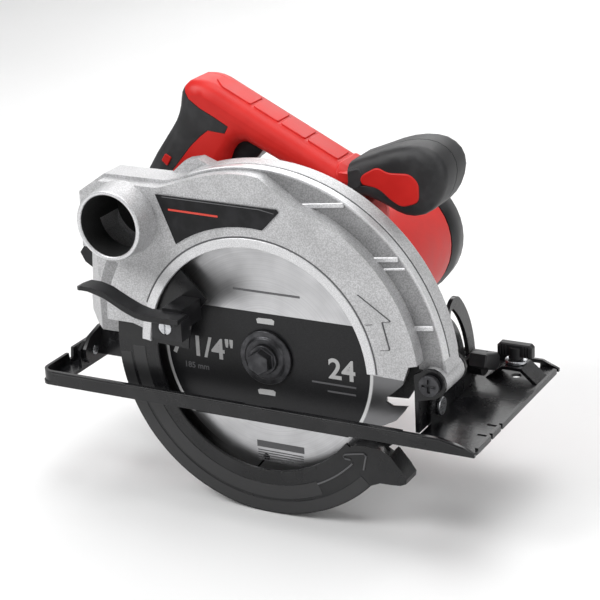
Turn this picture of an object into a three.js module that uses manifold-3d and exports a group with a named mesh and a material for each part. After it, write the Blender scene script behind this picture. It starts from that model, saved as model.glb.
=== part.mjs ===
// A hand-held circular saw with a 185 mm blade: base plate, tilting frame, depth arc, cast
// upper guard, sprung lower guard, D-handle, front knob, motor and gear train.
//
// Everything is drawn in millimetres around the arbor: X points forward, Y points from the
// blade towards the motor, and Z points up. The whole saw is then moved so that the origin
// lies on the sole, in line with the blade.

import * as THREE from 'three';
import { mergeVertices } from 'three/addons/utils/BufferGeometryUtils.js';
import Module from 'manifold-3d';

const wasm = await Module();
wasm.setup();

// ---------------------------------------------------------------- driving dimensions

const ORIGIN_AHEAD = 120; // the origin is this far in front of the arbor
const ARBOR_HEIGHT = 30; // height of the arbor above the sole at full depth
const GAP = 0.3; // clearance between pieces that touch
const SHEET = 2; // thickness of the base plate

const BLADE_R = 92.5;
const BLADE_TEETH = 24;
const BLADE_HALF = 0.9; // half the thickness of the blade
const BORE_R = 10;

const BASE = { rear: -147.5, front: 142.5, near: -25.8, far: 108 };
const SOLE = -ARBOR_HEIGHT;
const DECK = SOLE + SHEET; // upper face of the base plate
const SLOT = { rear: -134, front: 97, near: -14.5, far: 48, throat: 103 };

const BEVEL = { y: 12, z: -19.5 }; // the bevel axis runs along X
const BEVEL_STUD_R = 55; // distance from the bevel axis to the clamping stud
const BEVEL_TRAVEL = 45;
const STUD_ANGLE = 6;

const DEPTH = { x: 110.5, z: 3.5 }; // the depth axis runs along Y
const DEPTH_TRAVEL = 34;
const ARC_R = 180;
const CLAMP_ANGLE = -4;

const GUARD = { near: -13.8, far: 13.8, wall: 2.6, outer: 117.6, inner: 100, window: 72.2 };
const LOWER = { near: -10.3, far: 8, sheet: 1.5, outer: 97.3, inner: 69.5 };
const BOSS_R = 19; // the lower guard turns on this boss

const MOTOR = { x: 15.5, z: 28, r: 40, near: 48, far: 148, end: 176 };
const WHEEL_TEETH = 38;
const PINION_TEETH = 13;
const GEAR_MODULE = (2 * Math.hypot(MOTOR.x, MOTOR.z)) / (WHEEL_TEETH + PINION_TEETH);

const HANDLE = { near: 44, mid: 60, far: 76, seam: 66, round: 8 };
const KNOB = { near: 41, mid: 60, far: 79, round: 7 };
const PORT = { x: -85, z: 81, mouth: -30 };

// ---------------------------------------------------------------- materials

const finish = (color, roughness, metalness) =>
  new THREE.MeshStandardMaterial({ color, roughness, metalness });

const CAST = finish(0xb9bcc0, 0.5, 0.8);
const BLACK_STEEL = finish(0x17181a, 0.3, 0.4);
const STEEL = finish(0x9da1a6, 0.35, 1);
const BLADE_STEEL = finish(0xb4b6b8, 0.3, 1);
const RED = finish(0xd8281f, 0.45, 0);
const BLACK_PLASTIC = finish(0x242527, 0.6, 0);
const RUBBER = finish(0x1d1e20, 0.85, 0);
const COPPER = finish(0xb26a3c, 0.4, 0.9);
const LAMINATION = finish(0x6b6f75, 0.5, 0.9);
const LABEL = finish(0x111214, 0.5, 0);

// ---------------------------------------------------------------- geometry helpers

const degrees = THREE.MathUtils.degToRad;
const polar = (radius, angle, x = 0, z = 0) => [
  x + radius * Math.cos(degrees(angle)),
  z + radius * Math.sin(degrees(angle)),
];

// Turns a three.js geometry into a solid, with its faces pointing out.
function solid(geometry) {
  geometry.deleteAttribute('normal');
  geometry.deleteAttribute('uv');
  const merged = mergeVertices(geometry, 1e-4);
  const vertices = merged.attributes.position.array;
  const source = merged.index.array;
  const triangles = [];
  for (let i = 0; i < source.length; i += 3) {
    const [a, b, c] = [source[i], source[i + 1], source[i + 2]];
    if (a !== b && b !== c && c !== a) triangles.push(a, b, c);
  }
  const at = (i) => new THREE.Vector3().fromArray(vertices, 3 * i);
  let volume = 0;
  for (let i = 0; i < triangles.length; i += 3) {
    volume += at(triangles[i]).dot(at(triangles[i + 1]).cross(at(triangles[i + 2])));
  }
  if (volume < 0) triangles.reverse();
  return new wasm.Manifold(
    new wasm.Mesh({
      numProp: 3,
      vertProperties: Float32Array.from(vertices),
      triVerts: Uint32Array.from(triangles),
    }),
  );
}

// Moves every side of a counter-clockwise polygon outwards by a distance.
function grown(points, distance) {
  return points.map(([u, v], i) => {
    const before = points.at(i - 1);
    const after = points[(i + 1) % points.length];
    const along = new THREE.Vector2(u - before[0], v - before[1]).normalize();
    const next = new THREE.Vector2(after[0] - u, after[1] - v).normalize();
    const bisector = new THREE.Vector2(along.y + next.y, -along.x - next.x);
    bisector.multiplyScalar((2 * distance) / bisector.lengthSq());
    return [u + bisector.x, v + bisector.y];
  });
}

const join = (...solids) => solids.reduce((whole, next) => whole.add(next));
const common = (a, b) => a.intersect(b);
const cut = (whole, ...tools) => tools.reduce((rest, tool) => rest.subtract(tool), whole);

// A drawing plane's first two entries are the directions of a shape's x and y.
const X = new THREE.Vector3(1, 0, 0);
const Y = new THREE.Vector3(0, 1, 0);
const Z = new THREE.Vector3(0, 0, 1);
const PLANES = { XZ: [X, Z, Y.clone().negate()], YZ: [Y, Z, X], XY: [X, Y, Z] };

// Extrudes a shape between two levels along the third axis, with optional rounded rims.
function prism(shape, plane, from, to, { segments = 8, round = 0, steps = 2 } = {}) {
  const geometry = new THREE.ExtrudeGeometry(shape, {
    depth: to - from - 2 * round,
    curveSegments: segments,
    bevelEnabled: round > 0,
    bevelThickness: round,
    bevelSize: round,
    bevelOffset: -round,
    bevelSegments: steps,
  });
  geometry.translate(0, 0, round);
  geometry.applyMatrix4(new THREE.Matrix4().makeBasis(...PLANES[plane]));
  if (plane === 'XZ') geometry.translate(0, to, 0);
  if (plane === 'YZ') geometry.translate(from, 0, 0);
  if (plane === 'XY') geometry.translate(0, 0, from);
  return solid(geometry);
}

function outline(points, holes = []) {
  const shape = new THREE.Shape(points.map(([u, v]) => new THREE.Vector2(u, v)));
  shape.holes = holes;
  return shape;
}

const circle = (u, v, radius) => new THREE.Shape().absarc(u, v, radius, 0, 2 * Math.PI);

function rectangle(u0, v0, u1, v1, corner = 0) {
  const shape = new THREE.Shape();
  if (corner === 0) return outline([[u0, v0], [u1, v0], [u1, v1], [u0, v1]]);
  shape.absarc(u0 + corner, v0 + corner, corner, Math.PI, 1.5 * Math.PI);
  shape.absarc(u1 - corner, v0 + corner, corner, 1.5 * Math.PI, 2 * Math.PI);
  shape.absarc(u1 - corner, v1 - corner, corner, 0, 0.5 * Math.PI);
  shape.absarc(u0 + corner, v1 - corner, corner, 0.5 * Math.PI, Math.PI);
  return shape;
}

// Part of a ring between two angles, in degrees, counter-clockwise.
function sector(inner, outer, start, end, u = 0, v = 0) {
  const shape = new THREE.Shape();
  shape.absarc(u, v, outer, degrees(start), degrees(end), false);
  shape.absarc(u, v, inner, degrees(end), degrees(start), true);
  return shape;
}

// A sector with round ends, as an arc slot has.
function arcSlot(radius, half, start, end, u, v) {
  const shape = new THREE.Shape();
  const [startU, startV] = polar(radius, start, u, v);
  const [endU, endV] = polar(radius, end, u, v);
  shape.absarc(u, v, radius + half, degrees(start), degrees(end), false);
  shape.absarc(endU, endV, half, degrees(end), degrees(end + 180), false);
  shape.absarc(u, v, radius - half, degrees(end), degrees(start), true);
  shape.absarc(startU, startV, half, degrees(start + 180), degrees(start + 360), false);
  return shape;
}

const box = (x0, y0, z0, x1, y1, z1) => prism(rectangle(x0, y0, x1, y1), 'XY', z0, z1);

// A cylinder or cone along an axis; u and v are the other two coordinates, in order.
function rod(axis, from, to, u, v, radius, { far = radius, segments = 16 } = {}) {
  const geometry = new THREE.CylinderGeometry(far, radius, to - from, segments);
  geometry.translate(0, (from + to) / 2, 0);
  if (axis === 'X') geometry.rotateZ(-Math.PI / 2).translate(0, u, v);
  if (axis === 'Y') geometry.translate(u, 0, v);
  if (axis === 'Z') geometry.rotateX(Math.PI / 2).translate(u, v, 0);
  return solid(geometry);
}

const hexagon = (axis, from, to, u, v, across) =>
  rod(axis, from, to, u, v, across / Math.sqrt(3), { segments: 6 });

// A turned piece around an axis along Y, from pairs of radius and Y.
function turned(profile, { x = 0, z = 0, segments = 24 } = {}) {
  const points = profile.map(([radius, y]) => new THREE.Vector2(radius, y));
  return solid(new THREE.LatheGeometry(points, segments).translate(x, 0, z));
}

const ring = (inner, outer, from, to, place = {}) =>
  turned([[inner, from], [outer, from], [outer, to], [inner, to], [inner, from]], place);

// A round bar bent along a smooth curve through its points.
function bentWire(points, radius, steps, sides = 8) {
  const path = new THREE.CatmullRomCurve3(points.map((point) => new THREE.Vector3(...point)));
  const section = new THREE.Shape();
  section.absarc(0, 0, radius, 0, 2 * Math.PI);
  const options = { steps, curveSegments: sides / 2, extrudePath: path, bevelEnabled: false };
  const shape = new THREE.Shape(section.getPoints(sides).slice(0, sides));
  return solid(new THREE.ExtrudeGeometry(shape, options));
}

const saw = new THREE.Group();
saw.position.set(-ORIGIN_AHEAD, 0, ARBOR_HEIGHT);

function add(name, body, material) {
  const { vertProperties, triVerts } = body.getMesh();
  const geometry = new THREE.BufferGeometry();
  geometry.setAttribute('position', new THREE.BufferAttribute(vertProperties, 3));
  geometry.setIndex(new THREE.BufferAttribute(triVerts, 1));
  const mesh = new THREE.Mesh(geometry, material);
  mesh.name = name;
  saw.add(mesh);
}

// ---------------------------------------------------------------- base plate

const FENCE = { x: 122.3, y: 87.5, saddleNear: 78, saddleFar: 94 };
const NEAR_FLANGE_TOP = -21.5;

function basePlate() {
  const { rear, front, near, far } = BASE;
  const plate = prism(rectangle(rear, near, front, far, 6), 'XY', SOLE, DECK, { segments: 3 });
  const opening = rectangle(SLOT.rear, SLOT.near, SLOT.front, SLOT.far, 3);
  const slot = prism(opening, 'XY', SOLE - 1, DECK + 1, { segments: 2 });
  const throat = box(SLOT.front - 5, SLOT.near, SOLE - 1, SLOT.throat, 29, DECK + 1);
  const fenceExit = box(112, 95, SOLE - 1, 131, 105.5, DECK + 1);
  const nearFlange = prism(
    outline([[-140, SOLE], [front, SOLE], [front, DECK], [136, -24.6], [122, NEAR_FLANGE_TOP],
      [-140, -20.8]]),
    'XZ', near, near + SHEET,
  );
  const rearCorner = prism(
    sector(6, 8, 180, 270, rear + 8, near + 8), 'XY', SOLE, -20.8, { segments: 4 },
  );
  const rearFlange = prism(
    outline([[near + 8, SOLE], [102, SOLE], [102, -24], [40, -23], [31, -19], [9, -19], [8, -25.5],
      [4.5, -25.5], [3.5, -20.8], [near + 8, -20.8]]),
    'YZ', rear, rear + SHEET,
  );
  const farFlange = prism(
    outline([[-143, SOLE], [front, SOLE], [front, DECK], [132, -23.6], [-136, -23.6], [-143, -27]]),
    'XZ', far - SHEET, far,
  );
  const farWindow = box(117, far - 3, SOLE - 1, 130.5, far + 1, -26);
  const frontLip = box(front - SHEET, near + 6, SOLE, front, far - 6, -26.4);
  const slotLip = box(SLOT.rear + 2, SLOT.near - 1.5, SOLE, SLOT.front - 3, SLOT.near, -25.4);
  const saddle = prism(
    outline([[106, DECK - 1], [106, DECK], [116.6, -19.2], [129.2, -19.2], [139.7, DECK],
      [139.7, DECK - 1], [136.3, DECK - 1], [136.3, DECK], [128.3, -21], [117.5, -21],
      [109.3, DECK], [109.3, DECK - 1]]),
    'XZ', FENCE.saddleNear, FENCE.saddleFar,
  );
  const frontLug = prism(
    outline([[-1, SOLE], [25, SOLE], [25, -18], [18, -11], [4, -11], [-1, -16]]),
    'YZ', SLOT.throat + GAP, SLOT.throat + GAP + SHEET,
  );
  const rearLug = prism(
    outline([[0, SOLE], [25, SOLE], [25, -17], [18, -12], [6, -12], [0, -16]]),
    'YZ', SLOT.rear - SHEET, SLOT.rear,
  );
  const notch = (y) => box(front - 9, y, SOLE - 1, front + 1, y + 2.4, DECK + 6);
  const boltRelief = rod('Z', SOLE - 1, DECK + 6, 0, -7, 12, { segments: 36 }); // at full tilt
  const pressed = join(
    cut(plate, slot, throat, fenceExit), nearFlange, rearCorner, rearFlange, farFlange,
    frontLip, slotLip, saddle, frontLug, rearLug,
  );
  return cut(
    pressed,
    farWindow,
    notch(-1.2),
    notch(13.5),
    boltRelief,
    rod('X', 100, 108, BEVEL.y, BEVEL.z, 3.3),
    rod('X', -140, -130, BEVEL.y, BEVEL.z, 3.3),
    rod('Z', SOLE - 1, -18, FENCE.x, FENCE.y, 3.3),
  );
}

function bevelQuadrant() {
  const { y, z } = BEVEL;
  const plate = arcSlot(57, 10, -1, 48, y, z);
  plate.holes = [arcSlot(BEVEL_STUD_R, 3, STUD_ANGLE - 1, STUD_ANGLE + BEVEL_TRAVEL + 1, y, z)];
  const quadrant = prism(plate, 'YZ', 97, 99.5, { segments: 10 });
  const trim = box(90, 40, SOLE - 20, 105, 90, DECK + GAP);
  const foot = box(82, 57, DECK + GAP, 98, 84, DECK + GAP + 2.5);
  return join(cut(quadrant, trim), foot);
}

// Pins on the bevel axis join the tilting frame to the lugs of the base plate.
const bevelPin = (head, tail) => join(
  rod('X', Math.min(head, tail), Math.max(head, tail), BEVEL.y, BEVEL.z, 3),
  rod('X', Math.min(head, head + 1.8), Math.max(head, head + 1.8), BEVEL.y, BEVEL.z, 5.5),
);

// ---------------------------------------------------------------- tilting frame

const STUD = polar(BEVEL_STUD_R, STUD_ANGLE, BEVEL.y, BEVEL.z);
const EAR = { near: [-11.1, -8.6], far: [17.6, 20.1], r: 9 };
const BRACKET = { rear: 100.2, front: 102.7 };

function frontBracket() {
  const bottom = DECK + GAP;
  const [studY, studZ] = STUD;
  const plate = prism(
    outline([[EAR.near[0], bottom], [studY, bottom], [studY + 7, -22], [studY + 7, -12],
      [studY + 2, -9.4], [studY - 8, -9.4], [30, -12], [EAR.far[1], -9], [EAR.near[0], -9]]),
    'YZ', BRACKET.rear, BRACKET.front,
  );
  const earShape = outline([[BRACKET.rear, -24], [BRACKET.front, -24], [BRACKET.front, -8],
    ...[-70, -45, -20, 5, 30, 55, 80, 105, 130].map((a) => polar(EAR.r, a, DEPTH.x, DEPTH.z)),
    [BRACKET.rear, 8]]);
  const ears = [EAR.near, EAR.far].map(([from, to]) => prism(earShape, 'XZ', from, to));
  return cut(
    join(plate, ...ears),
    rod('Y', -20, 30, DEPTH.x, DEPTH.z, 3.6),
    rod('X', 95, 105, BEVEL.y, BEVEL.z, 3.3),
    rod('X', 95, 105, studY, studZ, 2.8),
  );
}

// The slotted arc stands behind the guard and is centred on the depth axis.
function rearBracket() {
  const { x, z } = DEPTH;
  const top = CLAMP_ANGLE + DEPTH_TRAVEL;
  const shape = sector(ARC_R - 9, ARC_R + 9, 180 - top - 4, 180 - CLAMP_ANGLE + 4, x, z);
  shape.holes = [arcSlot(ARC_R, 3.4, 180 - top - 1, 180 - CLAMP_ANGLE + 1, x, z)];
  const arc = prism(shape, 'XZ', 20, 23);
  const web = prism(
    outline([[-133.5, -25.6], [-72, -25.6], [-75.5, -12], [-100, -9], [-133.5, -6.5]]),
    'XZ', 20, 23,
  );
  const rear = prism(
    outline([[2, -22], [6, -26.6], [37, -26.6], [37, -6], [20, -6], [8, -9.5], [2, -16]]),
    'YZ', SLOT.rear + GAP, SLOT.rear + 2.8,
  );
  const wing = box(SLOT.rear + GAP, 34.5, -26.6, -122, 37, -6);
  return cut(join(arc, web, rear, wing), rod('X', -140, -128, BEVEL.y, BEVEL.z, 3.3));
}

function pivotScrew() {
  const { x, z } = DEPTH;
  return cut(
    join(
      rod('Y', EAR.near[0] - GAP - 3.2, EAR.near[0] - GAP, x, z, 6.4),
      rod('Y', EAR.near[0] - GAP - 1, EAR.far[1] + 5, x, z, 3.3),
    ),
    box(x - 0.8, -16, z - 4.2, x + 0.8, -13.1, z + 4.2),
    box(x - 4.2, -16, z - 0.8, x + 4.2, -13.1, z + 0.8),
  );
}

const KNOB_TURN = -20; // the bar of the bevel knob stands at this angle to the sole

const bevelStud = () => join(
  rod('X', 94, 96.7, ...STUD, 5.5),
  rod('X', 96, 112, ...STUD, 2.5),
);

function bevelKnob() {
  const [y, z] = STUD;
  const hub = rod('X', BRACKET.front + GAP, 111, y, z, 7.5);
  const wing = prism(
    outline([[-13.8, -1.5], [-10, -3], [6, -3.4], [9, -1], [9, 5], [6.5, 7], [-10, 7],
      [-13.8, 6]].map(([along, up]) => {
      const [u, v] = polar(along, KNOB_TURN, y, z);
      return polar(up, KNOB_TURN + 90, u, v);
    })),
    'YZ', 105.5, 116.5, { round: 0.8, steps: 1 },
  );
  return cut(join(hub, wing), rod('X', 100, 113, y, z, 2.8));
}

// ---------------------------------------------------------------- rip fence clamp

function fenceScrew() {
  const { x, y } = FENCE;
  const wing = prism(
    outline([[x - 11.2, -15], [x + 11.2, -15], [x + 11.2, -8.4], [x + 9.5, -6.6],
      [x - 9.5, -6.6], [x - 11.2, -8.4]]),
    'XZ', y - 3, y + 3, { round: 0.8, steps: 1 },
  );
  return join(
    wing,
    rod('Z', -16.6, -9, x, y, 4.6),
    rod('Z', -21.4, -15.5, x, y, 3),
  );
}

const fenceWasher = () => cut(
  rod('Z', -19, -17, FENCE.x, FENCE.y, 6.8),
  rod('Z', -30, -10, FENCE.x, FENCE.y, 3.4),
);

// ---------------------------------------------------------------- upper guard

const CLAMP = polar(ARC_R, 180 - CLAMP_ANGLE, DEPTH.x, DEPTH.z);
const BARREL = { near: -8.3, far: 17.3, r: 8.6 };

function upperGuard() {
  const { near, far, wall, outer, inner, window } = GUARD;
  const arc = (radius, start, end, count) => Array.from({ length: count + 1 }, (_, i) =>
    polar(radius, start + ((end - start) * i) / count));
  // The front half of the near face is smaller, so that a step runs round the rim.
  const face = outline([[72, 5], [95, 4.5], [98, 13], ...arc(104.5, 8, 74, 20), [8, 115],
    ...arc(116, 90, 112, 5), [-60, 102], [-101, 102], [-108, 97], [-108, 64], [-91, 51.5],
    [-96.5, 40], [-101.5, 26], [-102, 14.6], [-84, 14.6], [-75, 12], [-75, 5], [-72, 4.5]]);
  const back = outline([[72, -19], [86, -18], [92, -8], [98, 9], [118, 9],
    ...arc(outer, 6, 116, 36), [-61, 104], [-102, 104], [-121, 91], [-122, 48], [-126, 30],
    [-131, 16], [-131, 7], [-121, 3], [-98, 3], [-84, -14], [-70, -19]]);
  const shell = join(
    prism(face, 'XZ', near, -4),
    prism(back, 'XZ', -4.5, far),
    rod('Y', PORT.mouth, near + 1, PORT.x, PORT.z, 21.5, { far: 23, segments: 40 }),
    rod('Y', BARREL.near, BARREL.far, DEPTH.x, DEPTH.z, BARREL.r),
    rod('Y', far - 0.5, 19.7, ...CLAMP, 7.5),
    prism(outline([[-64, 96], [-36, 96], [-38, 111], [-46, 114], [-55, 112], [-64, 104]]),
      'XZ', far - 3, 19.6),
  );
  const slant = outline([[-140, near - 3], [-99.8, near - 3], [-132, far + 1], [-140, far + 1]]);
  const chips = outline([[-104, 84], [-104, 68], [-87.5, 52.5], [-91, 40], [-88, 26], [-70, 60],
    [-58, 78], [-66, 97], [-98, 97]]);
  return cut(
    shell,
    rod('Y', near + wall, far - wall, 0, 0, inner, { segments: 72 }),
    rod('Y', near - 1, near + wall + 1, 0, 0, window, { segments: 64 }),
    prism(chips, 'XZ', -10, 10),
    rod('Y', PORT.mouth - 1, 6, PORT.x, PORT.z, 19, { segments: 32 }),
    prism(slant, 'XY', 0, 56),
    box(-150, near - 1, -60, 70, far - wall, 3),
    rod('Y', -20, 30, DEPTH.x, DEPTH.z, 3.6),
    rod('Y', 10, 30, ...CLAMP, 3.3),
    rod('Y', 10, 13.6, ...CLAMP, 5.8),
    rod('Y', 0, 20, 0, 0, 26, { segments: 40 }),
  );
}

const clampBolt = () => join(
  rod('Y', 11.4, 13.3, ...CLAMP, 5.4),
  rod('Y', 12, 33, ...CLAMP, 3),
);

// A flat label panel fixed to the near face above the window.
function guardLabel() {
  const lower = Array.from({ length: 9 }, (_, i) => polar(84.7, 125.4 - 5.2 * i));
  const shape = outline([...lower, [20.2, 95.8], [19, 97.7], [-61, 98.4]]);
  return prism(shape, 'XZ', GUARD.near - GAP - 0.6, GUARD.near - GAP);
}

// The lever is clamped on its bolt and its thumb pad reaches out behind the guard.
function depthLever() {
  const [x, z] = CLAMP;
  const angle = 145;
  const along = (distance, side) => {
    const [u, v] = polar(distance, angle, x, z);
    return polar(side, angle + 90, u, v);
  };
  const arm = outline([along(0, -7), along(66, -5), along(72, -7.5), along(86, -8), along(90, -4),
    along(90, 4), along(84, 7), along(70, 6), along(0, 7)]);
  const hub = rod('Y', 24.6, 31, x, z, 8.5);
  return cut(join(prism(arm, 'XZ', 25.2, 31), hub), rod('Y', 20, 35, x, z, 3.3));
}

// ---------------------------------------------------------------- gear case and motor

const CASE = { near: GUARD.far + GAP, far: MOTOR.near - GAP };

function gearCase() {
  const shape = new THREE.Shape();
  shape.absarc(0, 0, 28, degrees(160), degrees(330), false);
  shape.absarc(MOTOR.x, MOTOR.z, 34, degrees(-20), degrees(140), false);
  const rear = prism(shape, 'XZ', CASE.near, CASE.far);
  const flange = rod('Y', CASE.far - 5, CASE.far, MOTOR.x, MOTOR.z, MOTOR.r - 1, { segments: 40 });
  const bearingNose = ring(16.3, BOSS_R, 4.9, CASE.near + 1);
  const collar = ring(16.3, 25.7, GUARD.far - 2.4, CASE.near + 1);
  const room = new THREE.Shape();
  room.absarc(0, 0, 25.5, degrees(160), degrees(330), false);
  room.absarc(MOTOR.x, MOTOR.z, 31, degrees(-20), degrees(140), false);
  return join(
    bearingNose,
    collar,
    cut(
      join(rear, flange),
      prism(room, 'XZ', 19, CASE.far - 3, { segments: 12 }),
      rod('Y', CASE.near - 1, 20, 0, 0, 16.3),
      rod('Y', CASE.far - 4, CASE.far + 1, MOTOR.x, MOTOR.z, 11.3),
      rod('Y', CASE.far - 4, CASE.far - 1, 0, 0, 5),
    ),
  );
}

const motorPlace = { x: MOTOR.x, z: MOTOR.z };

function motorHousing() {
  const { r, near, far } = MOTOR;
  const shell = turned([[12, near], [r - 1, near], [r, near + 6], [r + 1, 100], [r, far - 4],
    [r - 1, far], [r - 4, far], [r - 4, near + 4], [12, near + 4], [12, near]],
  { ...motorPlace, segments: 40 });
  return cut(shell, rod('Z', -30, 90, MOTOR.x, BRUSH.y, BRUSH.cap + GAP));
}

function endCap() {
  const { r, far, end } = MOTOR;
  const near = far + GAP;
  const shell = turned([[r - 4, near], [r - 0.6, near], [r + 1, near + 6], [r, near + 17],
    [r - 5, end - 3], [r - 12, end], [0, end], [0, end - 3], [r - 14, end - 3], [r - 8, end - 6],
    [r - 4, near + 12], [r - 4, near]], { ...motorPlace, segments: 40 });
  const vent = (i) => box(MOTOR.x - 18, end - 8, MOTOR.z - 14.5 + 6 * i,
    MOTOR.x + 18, end + 1, MOTOR.z - 12 + 6 * i);
  const seat = ring(9.2, 12, end - 12, end - 2.9, motorPlace);
  return join(cut(shell, ...[0, 1, 4, 5].map(vent)), seat);
}

const stator = () => ring(25.5, 35.6, 84, 128, { ...motorPlace, segments: 40 });

const BRUSH = { y: 140, cap: 6.4, tube: 4.6 };

// A brush cap screws into the housing and its tube reaches in to the commutator.
function brushCap(side) {
  const [tip, end] = [side * 15, side * 42].map((height) => MOTOR.z + height);
  const seat = MOTOR.z + side * 34;
  return join(
    rod('Z', Math.min(tip, end), Math.max(tip, end), MOTOR.x, BRUSH.y, BRUSH.tube),
    rod('Z', Math.min(seat, end), Math.max(seat, end), MOTOR.x, BRUSH.y, BRUSH.cap),
  );
}

// Gear teeth with straight flanks, thinned for backlash.
function gear(teeth, from, to, x, z, phase, bore) {
  const pitch = (GEAR_MODULE * teeth) / 2;
  const points = [];
  for (let i = 0; i < teeth; i += 1) {
    const centre = phase + (360 * i) / teeth;
    const step = 90 / teeth;
    points.push(
      polar(pitch - 1.35 * GEAR_MODULE, centre - 1.35 * step, x, z),
      polar(pitch + 0.72 * GEAR_MODULE, centre - 0.42 * step, x, z),
      polar(pitch + 0.72 * GEAR_MODULE, centre + 0.42 * step, x, z),
      polar(pitch - 1.35 * GEAR_MODULE, centre + 1.35 * step, x, z),
    );
  }
  const shape = outline(points, bore ? [circle(x, z, bore)] : []);
  return prism(shape, 'XZ', from, to, { segments: 12 });
}

const MESH_ANGLE = THREE.MathUtils.radToDeg(Math.atan2(MOTOR.z, MOTOR.x));

const arborShaft = () => cut(
  turned([[0, -0.7], [6, -0.7], [6, 4.4], [8.2, 5.2], [8.2, 24.5], [6.2, 25], [6.2, 37],
    [4.6, 37], [4.6, CASE.far - 3.6], [0, CASE.far - 3.6]]),
  rod('Y', -2, 14, 0, 0, 3.8),
);

const spindleGear = () => gear(WHEEL_TEETH, 26, 35, 0, 0, MESH_ANGLE + 180 / WHEEL_TEETH, 6.5);

function armature() {
  const { near, end } = MOTOR;
  const pinion = gear(PINION_TEETH, 24, 37, MOTOR.x, MOTOR.z, MESH_ANGLE + 180, 0);
  const shaft = turned([[0, 36], [4, 36], [4, near + 8], [5.5, near + 8.4], [5.5, 80], [23.6, 80],
    [23.6, 132], [8, 132.4], [5, 133], [5, end - 5], [0, end - 5]], motorPlace);
  return join(pinion, shaft);
}

const commutator = () => ring(8.3, 14, 134, 152, motorPlace);

function coolingFan() {
  const blades = Array.from({ length: 9 }, (_, i) => {
    const turn = new THREE.Matrix4().makeRotationY(degrees(40 * i));
    const blade = new THREE.BoxGeometry(21, 9, 1.6).translate(20.5, 70.2, 0).applyMatrix4(turn);
    return solid(blade.translate(MOTOR.x, 0, MOTOR.z));
  });
  return join(
    ring(5.8, 31.5, 74, 76, motorPlace),
    ring(5.8, 11, 66, 76, motorPlace),
    ...blades,
  );
}

// A ball bearing is drawn as one ring with a grooved face.
const bearing = (inner, outer, from, to, place) => {
  const low = inner + (outer - inner) * 0.32;
  const high = outer - (outer - inner) * 0.32;
  return turned([[inner, from], [low, from], [low, from + 0.8], [high, from + 0.8],
    [high, from], [outer, from], [outer, to], [inner, to], [inner, from]], place);
};

// ---------------------------------------------------------------- blade and its fixings

function blade() {
  const points = [];
  for (let i = 0; i < BLADE_TEETH; i += 1) {
    const tip = -11 - (360 * i) / BLADE_TEETH;
    points.push(
      polar(BLADE_R, tip),
      polar(BLADE_R - 1.3, tip - 2.2),
      polar(87.8, tip - 7.2),
      polar(82, tip - 11.6),
      polar(78.6, tip - 14.2),
      polar(79.5, tip - 16.3),
      polar(83.6, tip - 17),
    );
  }
  const disc = prism(outline(points, [circle(0, 0, BORE_R)]), 'XZ', -BLADE_HALF, BLADE_HALF);
  const slots = [-93.5, 26.5, 146.5].flatMap((angle) => {
    const groove = outline([polar(66, angle - 0.6), polar(66, angle + 0.6),
      polar(81, angle - 7), polar(81, angle - 8)]);
    return [rod('Y', -3, 3, ...polar(66, angle), 2.4, { segments: 12 }), prism(groove, 'XZ', -3, 3)];
  });
  return cut(disc, ...slots);
}

const innerFlange = () => turned([[6.3, -0.7], [9.7, -0.7], [9.7, BLADE_HALF + GAP],
  [17, BLADE_HALF + GAP], [17, 3.9], [6.3, 3.9], [6.3, -0.7]]);

const outerFlange = () => turned([[3.8, -4.6], [12.5, -4.6], [13.5, -3.2], [17, -3.2], [17, -1.2],
  [3.8, -1.2], [3.8, -4.6]], { segments: 40 });

const bladeBolt = () => join(
  rod('Y', -7, -4.9, 0, 0, 9.2),
  hexagon('Y', -12.8, -6.5, 0, 0, 13),
  rod('Y', -5.5, 12, 0, 0, 3.4),
);

// ---------------------------------------------------------------- lower guard

const LEVER_FOOT = { x: -44, z: 29, half: 6.5 };

function lowerGuard() {
  const { near, far, sheet, outer, inner } = LOWER;
  const rearAngle = 150;
  const frontAngle = 330;
  const lip = sector(inner, outer, rearAngle, frontAngle - 8);
  const tongue = sector(48, 76, 134, 178);
  const nose = outline([[50.9, -48.9], [52, -60], [56.2, -79], [63, -73.3], [69.7, -67.5],
    [76.2, -64.6], [82.7, -64.4], [89.1, -63.9], [92.9, -62.2], [93.3, -59.2], [89.4, -53.6],
    [83.3, -46.4], [77, -43], [67.4, -42.5], [58.9, -43.6]]);
  // The front edge is turned in, and the blade passes through the gap behind it.
  const edge = outline([[58.9, -43.6], [59.4, -45.2], [67.4, -44.2], [76.3, -44.6],
    [82.3, -47.8], [88.1, -54.6], [91.6, -59.8], [91.4, -61], [88.8, -62.3], [82.7, -62.8],
    [75.8, -63], [69, -65.8], [69.7, -67.5], [76.2, -64.6], [82.7, -64.4], [89.1, -63.9],
    [92.9, -62.2], [93.3, -59.2], [89.4, -53.6], [83.3, -46.4], [77, -43], [67.4, -42.5]]);
  const inside = rod('Y', -2.4, 6.6, 0, 0, BLADE_R + 1.6, { segments: 64 });
  const hub = sector(BOSS_R + GAP, 30, 0, 360);
  const farPlate = sector(28, outer, 172.5, frontAngle - 8);
  const far0 = far - sheet;
  return join(
    prism(lip, 'XZ', near, near + sheet, { segments: 24 }),
    prism(tongue, 'XZ', near, near + sheet, { segments: 5 }),
    prism(nose, 'XZ', near, near + sheet),
    cut(prism(edge, 'XZ', near + 0.5, 3.6), inside),
    prism(sector(outer - sheet, outer, rearAngle, frontAngle - 13), 'XZ', near, far,
      { segments: 24 }),
    prism(farPlate, 'XZ', far0, far, { segments: 24 }),
    prism(hub, 'XZ', far0, far, { segments: 12 }),
  );
}

const guardClip = () => ring(BOSS_R + GAP, 23, 4.4, 6.2);

// The thumb lever stands clear of the dust port, so that the lower guard can open past it.
const PADDLE = { near: -43, far: -31.3 };

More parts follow.
